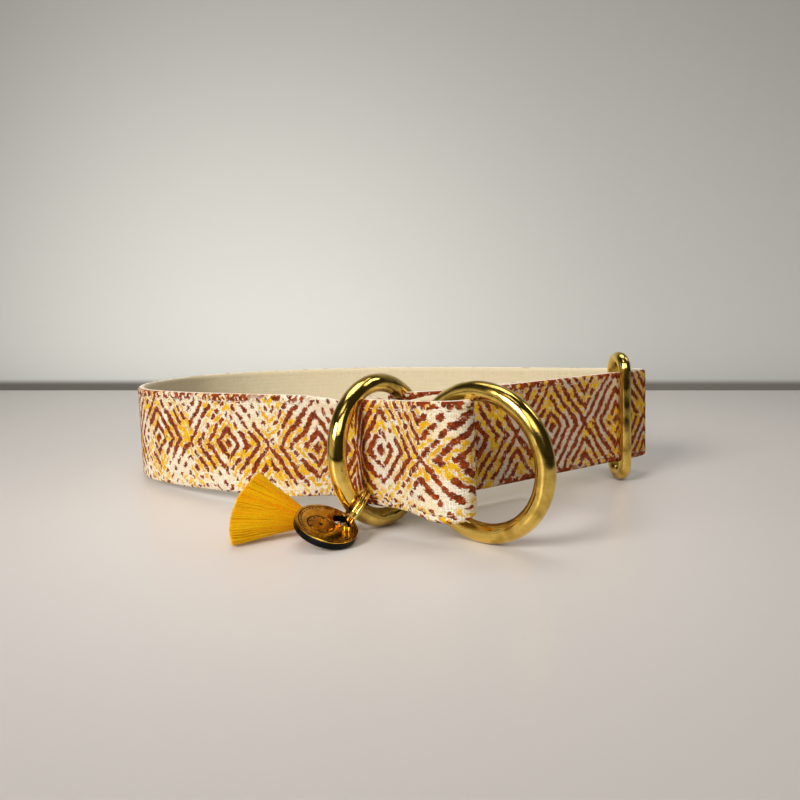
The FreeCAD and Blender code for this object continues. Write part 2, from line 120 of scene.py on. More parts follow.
STRAP_TILT = np.array(Vector((0, 0, 1)).rotation_difference(STRAP_UP).to_matrix())


def stood(places):
    """Places in plan and height above the strap's lower edge, brought to the object's frame in metres."""
    return (np.asarray(places) @ STRAP_TILT.T + PLAN_SHIFT + np.array([0, 0, STRAP_LIFT])) * MM


def station(along):
    """The step of the strip that is nearest to a distance along it."""
    return int(np.argmin(np.abs(strip_along - along)))


def hill(along, middle, reach):
    """A smooth hill from 0 to 1 and back, over a reach each side of its middle."""
    return np.clip(1 - ((along - middle) / reach) ** 2, 0, 1) ** 2


# ---- where the rings gather the strap

LOOP_AT = 38.0
NECK_RING_AT = 476.0
LEASH_FOLD_AT = 511.5
RETURN_RING_AT = 540.5

# How far the edges are drawn in: middle along the strip, reach, and how far at the upper and the lower edge.
DRAWN_IN = [
    (NECK_RING_AT - 6, 12.0, 1.5, 0.0), (NECK_RING_AT + 8, 24.0, 0.0, 1.9),
    (NECK_RING_AT - 13, 15.0, 0.0, 1.1), (RETURN_RING_AT, 14.0, 2.2, 2.2), (LOOP_AT, 20.0, 1.9, 1.9),
    (LEASH_FOLD_AT - 3, 11.0, -0.2, 0.0), (LEASH_FOLD_AT + 3, 7.0, 0.0, 1.3),
    (LEASH_FOLD_AT - 8, 10.0, 0.0, -1.0),
]

# How far the middle bows out of line with the edges: middle along the strip, reach, and how far.
BOWED = [(NECK_RING_AT - 2, 12.0, 1.8), (NECK_RING_AT + 9, 8.0, -0.7), (RETURN_RING_AT, 14.0, -1.8),
         (LOOP_AT, 20.0, -1.2)]

# How far the whole strap sinks at the leash ring's fold, and the reach of that.
FOLD_SINK = 1.1
FOLD_REACH = 9.0


def squeeze(along, across):
    """How far a point of the strap moves across it, in millimetres, where a ring gathers the strap."""
    high = across > 0
    drawn = sum(np.where(high, upper, lower) * hill(along, middle, reach)
                for middle, reach, upper, lower in DRAWN_IN)
    return drawn * np.abs(across / HALF_WIDTH) ** 1.5 * np.where(high, -1, 1)


def cup(along, across):
    """How far the strap bows towards its inner face where a ring gathers it, in millimetres."""
    bow = sum(depth * hill(along, middle, reach) for middle, reach, depth in BOWED)
    return bow * (1 - (across / HALF_WIDTH) ** 2) - FOLD_SINK * hill(along, LEASH_FOLD_AT, FOLD_REACH)


def ripple(along, across):
    """The small unevenness of sewn cloth."""
    return np.array([0.10 * noise.noise(Vector((a * 0.09, w * 0.05, 3.1)))
                     + 0.05 * noise.noise(Vector((a * 0.45, w * 0.35, 7.7))) for a, w in zip(along, across)])


# ---- cross-section of the strap

EDGE_ROUND = 0.9
FACE_STEPS = 34
OUTER_FACE, INNER_FACE, EDGE = 0, 1, 2


def section():
    """Points round the strap's section as (across, through), and the side of the strap after each one."""
    half_thick = STRAP_THICK / 2
    flat = HALF_WIDTH - EDGE_ROUND
    outer = [(w, -half_thick) for w in np.linspace(-flat, flat, FACE_STEPS + 1)]
    inner = [(w, half_thick) for w in np.linspace(flat, -flat, FACE_STEPS + 1)]
    turn = np.radians([-60, -30, 0, 30, 60])
    top = [(flat + EDGE_ROUND * math.cos(a), half_thick * math.sin(a)) for a in turn]
    bottom = [(-w, -t) for w, t in top]
    sides = ([OUTER_FACE] * (FACE_STEPS + 2) + [EDGE] * 2 + [INNER_FACE] * (FACE_STEPS + 4) + [EDGE] * 2
             + [OUTER_FACE] * 2)
    return np.array(outer + top + inner + bottom), sides


SECTION, SECTION_SIDES = section()

# The print's repeats are hand-set, so their spacing changes a little along the strip.
PRINT_REPEAT = 30.0
PRINT_AT = [(136.5, -9.0), (399.1, 0.0), (430.1, 1.0), (460.6, 2.0), (487.6, 3.0), (498.7, 3.5), (516.0, 4.0)]

# How far above the strap's middle the print's rows stand, at distances along the strip.
PRINT_RISE = [(470.0, 0.0), (487.6, 2.4), (498.0, 0.3), (516.0, 0.0)]

# Where the print is densest, in millimetres along the printed pattern: middle, reach, how full the strokes
# are, and how far the cloth between them is reddened, partly by ink and partly as painted shade where the
# strap turns from the light inside the neck ring, on the right band and near the left band's end.
DENSE_PRINT = [(-300.0, 52.0, 0.95, 0.32), (-26.0, 18.0, 0.9, 0.12), (80.0, 9.0, 1.8, 0.30),
               (110.0, 11.0, 0.75, 0.0)]


def between(along, table):
    """The value at a distance along the strip, from a table of distances and values."""
    return np.interp(along, [k[0] for k in table], [k[1] for k in table])


def print_place(along):
    """Distance along the printed pattern, in millimetres, for a distance along the strip."""
    first, last = PRINT_AT[0], PRINT_AT[-1]
    at = between(along, PRINT_AT)
    at = np.where(along < first[0], first[1] + (along - first[0]) / PRINT_REPEAT, at)
    at = np.where(along > last[0], last[1] + (along - last[0]) / PRINT_REPEAT, at)
    return at * PRINT_REPEAT


def strip_surface(index, across, through):
    """Frame positions of section points on the given stations of the strip."""
    along = strip_along[index]
    depth = through + cup(along, across) + ripple(along, across)
    height = HALF_WIDTH + across + squeeze(along, across)
    plan = strip_line[index] + strip_left[index] * depth[:, None]
    return stood(np.column_stack([plan, height]))


# ---- mesh helpers


def put_in_scene(name, data):
    """A new object in the scene."""
    thing = bpy.data.objects.new(name, data)
    bpy.context.scene.collection.objects.link(thing)
    return thing


def mesh_object(name, points, faces, *surfaces, smooth=True):
    """A new mesh with its materials."""
    mesh = bpy.data.meshes.new(name)
    mesh.from_pydata([tuple(p) for p in points], [], faces)
    mesh.validate()
    if smooth:
        mesh.shade_smooth()
    for surface in surfaces:
        mesh.materials.append(surface)
    return put_in_scene(name, mesh)


def quads(rows, around, closed=False):
    """Faces between rows of points that each go right round. When closed, the last row joins the first."""
    faces = []
    for i in range(rows if closed else rows - 1):
        this, after = i * around, (i + 1) % rows * around
        for k in range(around):
            beside = (k + 1) % around
            faces.append((this + k, this + beside, after + beside, after + k))
    return faces


def ends(rows, around):
    """The two faces that close rows of points."""
    return [tuple(reversed(range(around))), tuple(range((rows - 1) * around, rows * around))]


def round_line(centre, radius, first, second, angles):
    """Points at the angles of a circle that lies in two directions."""
    return centre + radius * (np.outer(np.cos(angles), first) + np.outer(np.sin(angles), second))


def strap_piece(name, start, end, close_start, close_end):
    """One stretch of the strap, between two distances along the strip."""
    stations = np.where((strip_along >= start - 0.01) & (strip_along <= end + 0.01))[0]
    rows, around = len(stations), len(SECTION)
    index = np.repeat(stations, around)
    across = np.tile(SECTION[:, 0], rows)
    points = strip_surface(index, across, np.tile(SECTION[:, 1], rows))
    faces = [(a, d, c, b) for a, b, c, d in quads(rows, around)]
    sides = SECTION_SIDES * (rows - 1)
    for closed, face in zip((close_start, close_end), ends(rows, around)):
        if closed:
            faces.append(tuple(reversed(face)))
            sides.append(EDGE)
    piece = mesh_object(name, points, faces, printed_cotton, lining_cotton, strap_edge)
    uv = piece.data.uv_layers.new(name="cloth")
    corner = np.zeros(len(piece.data.loops), np.int64)
    piece.data.loops.foreach_get("vertex_index", corner)
    rise = between(strip_along[index], PRINT_RISE)
    places = np.column_stack([print_place(strip_along[index]), across - rise]) / 10
    uv.data.foreach_set("uv", places[corner].astype(np.float32).ravel())
    piece.data.polygons.foreach_set("material_index", np.array(sides, np.int32))
    piece.data.update()
    return piece


# ---- node helpers


class Value:
    """A number or a vector in a node tree. Arithmetic with it adds the nodes that work it out."""

    def __init__(self, wiring, socket):
        self.wiring, self.socket = wiring, socket

    def __add__(self, other):
        return self.wiring.math("ADD", self, other)

    def __sub__(self, other):
        return self.wiring.math("SUBTRACT", self, other)

    def __rsub__(self, other):
        return self.wiring.math("SUBTRACT", other, self)

    def __mul__(self, other):
        return self.wiring.math("MULTIPLY", self, other)

    def __truediv__(self, other):
        return self.wiring.math("DIVIDE", self, other)

    def __abs__(self):
        return self.wiring.math("ABSOLUTE", self)


class Wiring:
    """Adds nodes to a tree and joins them."""

    def __init__(self, tree):
        self.tree = tree

    def add(self, kind, inputs=None, **settings):
        """A new node with its settings and inputs: constants, values, or nodes for their first outputs."""
        node = self.tree.nodes.new(kind)
        for key, value in settings.items():
            setattr(node, key, value)
        self.fill(node, inputs or {})
        return node

    def fill(self, node, inputs):
        """Joins or sets a node's inputs."""
        for key, value in inputs.items():
            if isinstance(value, Value):
                self.tree.links.new(value.socket, node.inputs[key])
            elif isinstance(value, bpy.types.Node):
                self.tree.links.new(value.outputs[0], node.inputs[key])
            else:
                node.inputs[key].default_value = value

    def got(self, kind, inputs=None, output=0, **settings):
        """One output of a new node."""
        return Value(self, self.add(kind, inputs, **settings).outputs[output])

    def math(self, operation, *values):
        """One step of arithmetic, with vectors where a vector goes in."""
        vectors = [v for v in values if isinstance(v, tuple)
                   or isinstance(v, Value) and v.socket.type in ("VECTOR", "RGBA")]
        return self.got("ShaderNodeVectorMath" if vectors else "ShaderNodeMath", dict(enumerate(values)),
                        operation=operation)

    def most(self, first, second):
        """The greater of two numbers."""
        return self.math("MAXIMUM", first, second)

    def scaled(self, vector, factor):
        return self.got("ShaderNodeVectorMath", {0: vector, "Scale": factor}, operation="SCALE")

    def distance(self, place, middle):
        return self.got("ShaderNodeVectorMath", {0: place, 1: middle}, "Value", operation="DISTANCE")

    def ramp(self, value, low, high, out_low=0.0, out_high=1.0):
        """A smooth step of the value from low to high."""
        return self.got("ShaderNodeMapRange", {"Value": value, "From Min": low, "From Max": high,
                                               "To Min": out_low, "To Max": out_high}, "Result",
                        interpolation_type="SMOOTHSTEP")

    def noise(self, vector, scale, detail=2.0, roughness=0.5, w=None, output=0):
        """Soft clouds over a place. A value of w picks another set of clouds."""
        given = {"Vector": vector, "Scale": scale, "Detail": detail, "Roughness": roughness}
        if w is None:
            return self.got("ShaderNodeTexNoise", given, output)
        return self.got("ShaderNodeTexNoise", {**given, "W": w}, output, noise_dimensions="4D")

    def wander(self, vector, scale, detail, roughness, reach):
        """A soft shift of a place, which goes each way because the noise lies around a half."""
        return (self.noise(vector, scale, detail, roughness, output="Color") - (0.5, 0.5, 0.5)) * reach

    def luck(self, x, y, z):
        """A number from 0 to 1 that stays the same for the same three numbers."""
        key = self.add("ShaderNodeCombineXYZ", {0: x, 1: y, 2: z})
        return self.got("ShaderNodeTexWhiteNoise", {"Vector": key}, noise_dimensions="3D")

    def parts(self, vector):
        """The three numbers of a vector."""
        return [Value(self, part) for part in self.add("ShaderNodeSeparateXYZ", {0: vector}).outputs]

    def colour_mix(self, factor, first, second, blend="MIX"):
        return self.got("ShaderNodeMix", {0: factor, 6: first, 7: second}, 2, data_type="RGBA",
                        blend_type=blend)

    def effect(self, group, **inputs):
        """A shared effect with its own inputs: its results by name."""
        return {s.name: Value(self, s) for s in self.add("ShaderNodeGroup", inputs, node_tree=group).outputs}

    def bump(self, height, distance, strength=1.0):
        return self.got("ShaderNodeBump", {"Height": height, "Distance": distance, "Strength": strength})

    def place(self):
        return self.got("ShaderNodeTexCoord", None, "Object")

    def cloth(self):
        """The strap's flat map, whose unit is a centimetre."""
        return self.got("ShaderNodeUVMap", uv_map="cloth")


def node_group(name, inputs, outputs, kind="ShaderNodeTree"):
    """A node group with named inputs and outputs: (group, wiring, its inputs by name, its output node)."""
    group = bpy.data.node_groups.new(name, kind)
    for way, sockets in (("INPUT", inputs), ("OUTPUT", outputs)):
        for label, sort, *default in sockets:
            socket = group.interface.new_socket(name=label, in_out=way, socket_type="NodeSocket" + sort)
            if default:
                socket.default_value = default[0]
    n = Wiring(group)
    given = {s.name: Value(n, s) for s in n.add("NodeGroupInput").outputs}
    return group, n, given, n.add("NodeGroupOutput")


def colour(red, green, blue):
    """A screen colour, 0 to 255, as the shader's own light values."""
    def light(c):
        c = c / 255
        return c / 12.92 if c <= 0.04045 else ((c + 0.055) / 1.055) ** 2.4
    return (light(red), light(green), light(blue), 1.0)


# ---- shared effects


def weave_group():
    """Plain weave on the strap's flat map. Thread is the thread's spacing in millimetres."""
    group, n, given, out = node_group("plain_weave", [("Cloth", "Vector"), ("Thread", "Float", 0.45)],
                                      [("Height", "Float"), ("Slub", "Float")])
    cloth = given["Cloth"]
    along, across = [part * 10.0 / given["Thread"] for part in n.parts(cloth)[:2]]
    wave_along, wave_across = [n.math("SINE", n.math("FRACT", part) * math.pi) for part in (along, across)]
    checker = abs(n.math("MODULO", n.math("FLOOR", along) + n.math("FLOOR", across), 2.0))
    over = wave_along * n.math("MULTIPLY_ADD", wave_across, 0.5, 0.5)
    under = wave_across * n.math("MULTIPLY_ADD", wave_along, 0.5, 0.5)
    slub = (n.noise(cloth * (2.0, 22.0, 1.0), 1.0) + n.noise(cloth * (22.0, 2.0, 1.0), 1.0)) * 0.5
    n.fill(out, {"Height": (over * checker + under * (1.0 - checker)) * (slub + 0.5), "Slub": slub})
    return group


LINE_SPACING = 2.93  # between the print's lines, square to them, in millimetres
STROKE_ROUNDING = 0.55
SIDE_ALONG, SIDE_ACROSS = 0.625, 0.781  # the way that a diamond's side runs


def block_print_group():
    """Rows of nested diamonds in broken lines, printed by hand: masks of its rust and yellow inks, and of the
    reddened cloth in its densest zones, which is partly painted shade.
    """
    group, n, given, out = node_group(
        "block_print",
        [("Cloth", "Vector"), ("Repeat", "Float", PRINT_REPEAT), ("Step Along", "Float", 3.75),
         ("Step Across", "Float", 4.7), ("Line Half", "Float", 0.78), ("Dash", "Float", 3.1)],
        [("Rust", "Float"), ("Yellow", "Float"), ("Wash", "Float")])
    dash = given["Dash"]
    flat = n.scaled(given["Cloth"], 10.0)
    hand = n.wander(flat, 0.16, 1.0, 0.5, (2.6, 2.2, 0.0))
    ragged = n.wander(flat, 0.95, 2.0, 0.5, (1.9, 1.9, 0.0))
    nibbled = n.wander(flat, 3.2, 2.0, 0.6, (1.15, 1.15, 0.0))
    along, across, _ = n.parts((flat + hand) + (ragged + nibbled))

    half_repeat = given["Repeat"] * 0.5
    from_centre = n.math("PINGPONG", along, half_repeat)
    from_middle = abs(across)
    rank = from_centre / given["Step Along"] + from_middle / given["Step Across"]
    line = n.math("ROUND", rank)
    off = abs(rank - line)
    follow = from_centre * SIDE_ALONG - from_middle * SIDE_ACROSS
    quarter = n.math("FLOOR", along / half_repeat) + n.math("SIGN", across) * 40.0
    shift = n.luck(quarter, line, 0.0)
    dash_at = follow / dash + shift * 7.0
    luck = n.luck(n.math("FLOOR", dash_at), line, quarter)

    fullness = n.ramp(n.noise(flat, 0.085, 1.0, w=2.3), 0.30, 0.56)
    wash_and_shade = 0.0
    # The reddening of the cloth between strokes: partly ink, partly painted shade where the strap turns from
    # the light.
    for middle, reach, most, bleed_and_shade in DENSE_PRINT:
        apart = abs(along - middle)
        wash_and_shade = n.most(wash_and_shade, n.ramp(apart, reach - 6.0, reach + 4.0, bleed_and_shade, 0.0))
        fullness = n.most(fullness, n.ramp(apart, reach - 6.0, reach + 4.0, most, 0.0))
    drift = n.math("MULTIPLY_ADD", n.noise(flat, 0.12, 1.0, w=6.1), 7.0, -3.5)
    well_inked = n.math("MINIMUM", wash_and_shade * 3.2, 1.0)
    faded = n.ramp(across + drift, -6.5, -11.0) * (1.0 - well_inked)
    thinned = n.ramp(from_middle, 9.0, 13.0, 0.0, 0.7) * n.math("MULTIPLY_ADD", well_inked, -0.6, 1.0)
    fullness = fullness * (1.0 - n.most(thinned, faded))

    dash_half = n.math("MULTIPLY_ADD", fullness, 0.34, 0.17) + luck * 0.18
    line_half = given["Line Half"] * n.math("MULTIPLY_ADD", fullness, 0.45, 0.58)
    beyond_end = (abs(n.math("FRACT", dash_at) - 0.5) - dash_half) * dash
    beyond_side = off * LINE_SPACING - line_half
    past_end, past_side = [n.most(beyond + STROKE_ROUNDING, 0.0) for beyond in (beyond_end, beyond_side)]
    beyond = n.math("SQRT", past_end * past_end + past_side * past_side) - STROKE_ROUNDING
    core = n.ramp(rank * LINE_SPACING, 1.0, 1.35, 1.0, 0.0)
    rust = n.most(n.ramp(beyond, -0.10, 0.10, 1.0, 0.0), core)

    border = n.ramp(from_middle + n.noise(flat, 0.5) * 2.2, 13.6, 14.1)
    broken = n.noise(flat, 0.75, 1.0, w=9.1) - (faded * 0.12 - well_inked * 0.035)
    border = border * n.ramp(broken, 0.46, 0.52) * n.ramp(n.noise(flat, 0.06, 1.0, w=3.4), 0.35, 0.44)
    rust = n.most(rust, border)

    warm_zone = n.ramp(n.noise(flat, 0.10, 1.0, w=5.7), 0.42, 0.50)
    yellow_at = follow / (dash * 1.5) + shift * 11.0
    yellow_end = (abs(n.math("FRACT", yellow_at) - 0.5) - 0.40) * 4.0
    yellow_side = (0.5 - off) * LINE_SPACING - 0.53
    yellow = n.ramp(n.most(yellow_end, yellow_side), -0.10, 0.14, 1.0, 0.0) * warm_zone
    swapped = n.math("GREATER_THAN", luck, 0.90) * n.math("GREATER_THAN", warm_zone, 0.2)
    swapped = swapped * (1.0 - n.most(core, border))
    yellow = n.most(yellow, rust * swapped)
    rust = rust * (1.0 - swapped)
    n.fill(out, {"Rust": rust, "Yellow": yellow * (1.0 - rust), "Wash": wash_and_shade})
    return group


def polish_group():
    """Uneven polish on brass: a tint, a roughness and a fine height."""
    group, n, given, out = node_group(
        "brass_polish",
        [("Place", "Vector"), ("Tarnish", "Float", 0.5), ("Polished", "Color", colour(232, 197, 100)),
         ("Dull", "Color", colour(158, 124, 48))],
        [("Colour", "Color"), ("Roughness", "Float"), ("Height", "Float")])
    place = given["Place"]
    dull, pits = [n.got("ShaderNodeMath", {0: n.ramp(clouds, low, high), 1: given["Tarnish"]},
                        operation="MULTIPLY", use_clamp=True)
                  for clouds, low, high in ((n.noise(place, 160.0, 4.0, 0.6), 0.42, 0.68),
                                            (n.noise(place, 900.0, 3.0, 0.6), 0.62, 0.74))]
    dull = n.most(dull, pits)
    scratches = n.noise(place * (900.0, 900.0, 5200.0), 1.0, 1.0)
    n.fill(out, {"Colour": n.colour_mix(dull, given["Polished"], given["Dull"]),
                 "Roughness": n.math("MULTIPLY_ADD", dull, 0.20, 0.085),
                 "Height": n.noise(place, 110.0, 1.0) + scratches * 0.012})
    return group


plain_weave = weave_group()
block_print = block_print_group()
brass_polish = polish_group()

# ---- materials


def material(name):
    """A new material: (material, wiring, its Principled shader)."""
    made = bpy.data.materials.new(name)
    made.use_nodes = True
    made.node_tree.nodes.clear()
    n = Wiring(made.node_tree)
    shader = n.add("ShaderNodeBsdfPrincipled")
    n.add("ShaderNodeOutputMaterial", {"Surface": shader})
    return made, n, shader


def printed_cotton_material():
    """Cream cotton with the block print, worn off the high threads and specked, reddened where the print is
    densest, partly as painted shade, and with painted shade in the weave's hollows.
    """
    made, n, shader = material("printed_cotton")
    cloth = n.cloth()
    printed = n.effect(block_print, Cloth=cloth)
    weave = n.effect(plain_weave, Cloth=cloth, Thread=0.42)
    height, slub = weave["Height"], weave["Slub"]
    ground = n.colour_mix(n.ramp(slub, 0.35, 0.65), colour(230, 214, 184), colour(252, 244, 224))
    stain = n.noise(cloth * (2.2, 2.2, 1.0), 1.0, 3.0, 0.6)
    ground = n.colour_mix(n.ramp(stain, 0.46, 0.64, 0.0, 0.28), ground, colour(250, 208, 110))
    # Reddened cloth where the print is densest, partly ink and partly painted shade.
    ground = n.colour_mix(printed["Wash"], ground, colour(178, 112, 72))
    speck = n.noise(cloth * (26.0, 26.0, 1.0), 1.0, 2.0, 0.6)
    ink_wear = n.ramp(height + slub * 0.6, 0.25, 0.60, 0.85, 1.0) * n.ramp(speck, 0.30, 0.38, 0.45, 1.0)
    stray = n.ramp(speck, 0.64, 0.70, 0.0, 0.5)
    patchy = n.ramp(n.noise(cloth * (7.0, 7.0, 7.0), 1.0, 3.0), 0.3, 0.7)
    rust = n.colour_mix(patchy, colour(96, 28, 0), colour(164, 62, 3))
    yellow = n.colour_mix(patchy, colour(222, 156, 0), colour(246, 200, 0))
    with_yellow = n.colour_mix(printed["Yellow"] * ink_wear, ground, yellow)
    with_rust = n.colour_mix(n.most(printed["Rust"] * ink_wear, stray), with_yellow, rust)
    # Painted shade in the hollows between the weave's threads.
    weave_hollow_shade = n.ramp(height, 0.02, 0.35, 0.76, 1.0) * n.ramp(speck, 0.36, 0.5, 0.74, 1.0)
    n.fill(shader, {"Base Color": n.colour_mix(1.0, with_rust, weave_hollow_shade, "MULTIPLY"), "Roughness": 0.86,
                    "Specular IOR Level": 0.05, "Normal": n.bump(height, 0.00016, 0.9)})
    return made


def lining_cotton_material():
    """Smooth cream cotton with a fine rib along the strap."""
    made, n, shader = material("lining_cotton")
    cloth = n.cloth()
    weave = n.effect(plain_weave, Cloth=cloth, Thread=0.34)
    rib = n.math("SINE", n.parts(cloth)[1] * (2 * math.pi / 0.16))
    stain = n.ramp(n.noise(cloth * (0.7, 0.9, 1.0), 1.0), 0.45, 0.8, 0.0, 0.35)
    base = n.colour_mix(n.ramp(weave["Slub"], 0.3, 0.7), colour(196, 182, 149), colour(205, 192, 161))
    n.fill(shader, {"Base Color": n.colour_mix(stain, base, colour(204, 184, 142)), "Roughness": 0.8,
                    "Specular IOR Level": 0.3, "Sheen Weight": 0.15,
                    "Normal": n.bump(rib * 0.35 + weave["Height"], 0.00006, 0.5)})
    return made


def strap_edge_material():
    """The turned edge, where the print's ink shows in places."""
    made, n, shader = material("strap_edge")
    cloth = n.cloth()
    weave = n.effect(plain_weave, Cloth=cloth, Thread=0.42)
    tint = n.ramp(n.noise(cloth * (3.0, 8.0, 1.0), 1.0, 3.0), 0.50, 0.72)
    n.fill(shader, {"Base Color": n.colour_mix(tint, colour(238, 225, 205), colour(188, 120, 84)),
                    "Roughness": 0.88, "Specular IOR Level": 0.25,
                    "Normal": n.bump(weave["Height"], 0.00014, 0.8)})
    return made


def thread_material(name, dark, light):
    """Sewing thread, mottled between two tones."""
    made, n, shader = material(name)
    place = n.place()
    tone = n.ramp(n.noise(place, 700.0), 0.35, 0.65)
    twist = n.noise(place * (3000.0, 3000.0, 3000.0), 1.0, 1.0)
    n.fill(shader, {"Base Color": n.colour_mix(tone, dark, light), "Roughness": 0.6, "Sheen Weight": 0.2,
                    "Normal": n.bump(twist, 0.00005, 0.6)})
    return made


def brass_material(name, tarnish, wave):
    """Polished brass. The wave is how deep its unevenness is, in metres."""
    made, n, shader = material(name)
    polish = n.effect(brass_polish, Place=n.place(), Tarnish=tarnish)
    n.fill(shader, {"Base Color": polish["Colour"], "Roughness": polish["Roughness"], "Metallic": 1.0,
                    "Normal": n.bump(polish["Height"], wave)})
    return made


printed_cotton = printed_cotton_material()
lining_cotton = lining_cotton_material()
strap_edge = strap_edge_material()
cream_thread = thread_material("cream_thread", colour(182, 160, 126), colour(214, 194, 158))
ring_brass = brass_material("ring_brass", 0.7, 0.0009)
slider_brass = brass_material("slider_brass", 0.95, 0.0005)
split_ring_brass = brass_material("split_ring_brass", 0.3, 0.0002)

# ---- the strap's three stretches

SLIP_FROM = 432.0
SLIP_TO = 492.0
strap_end = float(strip_along[-1])
slip_start = float(strip_along[station(SLIP_FROM)])
slip_end = float(strip_along[station(SLIP_TO)])

neck_strap = strap_piece("strap_neck", 0.0, slip_start, True, False)
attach(neck_strap, "neck_strap")
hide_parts("neck_cover", "neck_webbing", "neck_lining", "ring_end_loop", "ring_end_tab")

slip_strap = strap_piece("strap_slip", slip_start, slip_end, False, False)
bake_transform(slip_strap)
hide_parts("slip_length")

leash_strap = strap_piece("strap_leash", slip_end, strap_end, False, True)
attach(leash_strap, "leash_end")
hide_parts("leash_cover", "leash_webbing", "leash_lining", "leash_return_end")

# ---- stitching


def stitches_tree():
    """Stitches laid end to end along lines of edges."""
    tree, n, given, out = node_group(
        "stitches",
        [("Geometry", "Geometry"), ("Pitch", "Float"), ("Length", "Float"), ("Thickness", "Float"),
         ("Thread", "Material")], [("Geometry", "Geometry")], "GeometryNodeTree")
    lines = n.add("GeometryNodeMeshToCurve", {"Mesh": given["Geometry"]})
    spaced = n.add("GeometryNodeResampleCurve", {"Curve": lines, "Length": given["Pitch"]}, mode="LENGTH")
    tangent = n.add("GeometryNodeInputTangent")
    turned = n.add("FunctionNodeAlignRotationToVector", {"Vector": tangent}, axis="X")
    ball = n.add("GeometryNodeMeshUVSphere", {"Segments": 6, "Rings": 4, "Radius": 0.5})
    smooth = n.add("GeometryNodeSetShadeSmooth", {0: ball})
    size = n.add("ShaderNodeCombineXYZ", {0: given["Length"], 1: given["Thickness"], 2: given["Thickness"]})
    laid = n.add("GeometryNodeInstanceOnPoints", {"Points": spaced, "Instance": smooth, "Rotation": turned,
                                                  "Scale": size})
    real = n.add("GeometryNodeRealizeInstances", {0: laid})
    n.fill(out, {0: n.add("GeometryNodeSetMaterial", {"Geometry": real, "Material": given["Thread"]})})
    return tree


def baked(piece, tree, values):
    """Gives an object the plain mesh that a tree makes on it, with the tree's inputs set by name."""
    modifier = piece.modifiers.new(tree.name, "NODES")
    modifier.node_group = tree
    keys = {s.name: s.identifier for s in tree.interface.items_tree if s.in_out == "INPUT"}
    for label, value in values.items():
        modifier[keys[label]] = value
    bpy.context.view_layer.update()
    mesh = bpy.data.meshes.new_from_object(piece.evaluated_get(bpy.context.evaluated_depsgraph_get()))
    piece.modifiers.clear()
    piece.data = mesh


stitches = stitches_tree()
STITCH_LINE = HALF_WIDTH - STITCH_INSET
BAR_REACH = STITCH_LINE - 1.0
SURFACE = STRAP_THICK / 2 - 0.05
RING_END_BARS = (86.6, 87.5, 94.2, 95.1)
LEASH_BAR = 496.5


def edge_rows(start, end, across):
    """The stitch line near one edge of the strap, on both faces."""
    index = np.where((strip_along >= start) & (strip_along <= end))[0]
    return [strip_surface(index, np.full(len(index), across), np.full(len(index), face))
            for face in (-SURFACE, SURFACE)]


def bar_row(along, steps=40):
    """A line of stitches up the outer face of the strap."""
    return strip_surface(np.full(steps, station(along)), np.linspace(-BAR_REACH, BAR_REACH, steps),
                         np.full(steps, -SURFACE))


def stitched(name, rows, pitch=2.4, length=1.9, thickness=0.27):
    """One object of stitches along several lines."""
    points, edges = [], []
    for row in rows:
        first = len(points)
        points.extend(map(tuple, row))
        edges.extend((first + i, first + i + 1) for i in range(len(row) - 1))
    mesh = bpy.data.meshes.new(name)
    mesh.from_pydata(points, edges, [])
    piece = put_in_scene(name, mesh)
    baked(piece, stitches, {"Pitch": pitch * MM, "Length": length * MM, "Thickness": thickness * MM,
                            "Thread": cream_thread})
    return piece


for label, line in (("upper", STITCH_LINE), ("lower", -STITCH_LINE)):
    neck_line = stitched(f"stitches_neck_{label}", edge_rows(0.0, slip_start, line))
    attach(neck_line, "neck_strap")
    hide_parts(f"neck_stitch_{label}")
    slip_line = stitched(f"stitches_slip_{label}", edge_rows(slip_start, slip_end, line))
    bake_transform(slip_line)
    leash_line = stitched(f"stitches_leash_{label}", edge_rows(slip_end, strap_end, line))
    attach(leash_line, "leash_end")
    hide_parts(f"leash_stitch_{label}")

ring_bars = stitched("stitches_ring_end", [bar_row(along) for along in RING_END_BARS], 1.9, 1.6)
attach(ring_bars, "neck_strap")
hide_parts("ring_end_seam")
leash_bar = stitched("stitches_leash_bar", [bar_row(LEASH_BAR)], 1.9, 1.5, 0.35)
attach(leash_bar, "leash_end")
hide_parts("leash_seam")

# ---- brass hardware


def unit(x, y, z):
    """A direction at unit length."""
    return np.array(Vector((x, y, z)).normalized())


def squared(direction, axis):
    """The direction brought square to an axis, at unit length."""
    direction, axis = Vector(direction), Vector(axis)
    return np.array((direction - axis * direction.dot(axis)).normalized())


def swept(name, line, radius, sides, closed, surface):
    """A round wire along a line of points, with even sides."""
    line = np.asarray(line, float)
    count = len(line)
    ahead = (np.roll(line, -1, 0) - np.roll(line, 1, 0)) if closed else np.gradient(line, axis=0)
    ahead /= np.linalg.norm(ahead, axis=1)[:, None]
    normal = np.cross(ahead[0], np.cross(line[count // 3] - line[0], line[count // 2] - line[0]))
    normal /= np.linalg.norm(normal)
    angles = np.linspace(0, 2 * math.pi, sides, endpoint=False)
    rings = []
    for place, way in zip(line, ahead):
        normal = normal - way * (normal @ way)
        normal /= np.linalg.norm(normal)
        rings.append(round_line(place, radius, normal, np.cross(way, normal), angles))
    faces = quads(count, sides, closed)
    if not closed:
        faces += ends(count, sides)
    return mesh_object(name, np.vstack(rings), faces, surface)


def ring_line(centre, turn, lean, steps=240):
    """The middle line of a standing ring's wire."""
    turn, lean = math.radians(turn), math.radians(lean)
    angles = np.linspace(0, 2 * math.pi, steps, endpoint=False)
    across = np.array([math.cos(turn), -math.sin(turn), 0])
    outward = np.array([math.sin(turn), math.cos(turn), 0])
    upward = math.cos(lean) * np.array([0, 0, 1]) + math.sin(lean) * outward
    middle = np.array([*centre, RING_RADIUS * math.cos(lean) + RING_WIRE / 2]) + PLAN_SHIFT
    return round_line(middle, RING_RADIUS, across, upward, angles) * MM


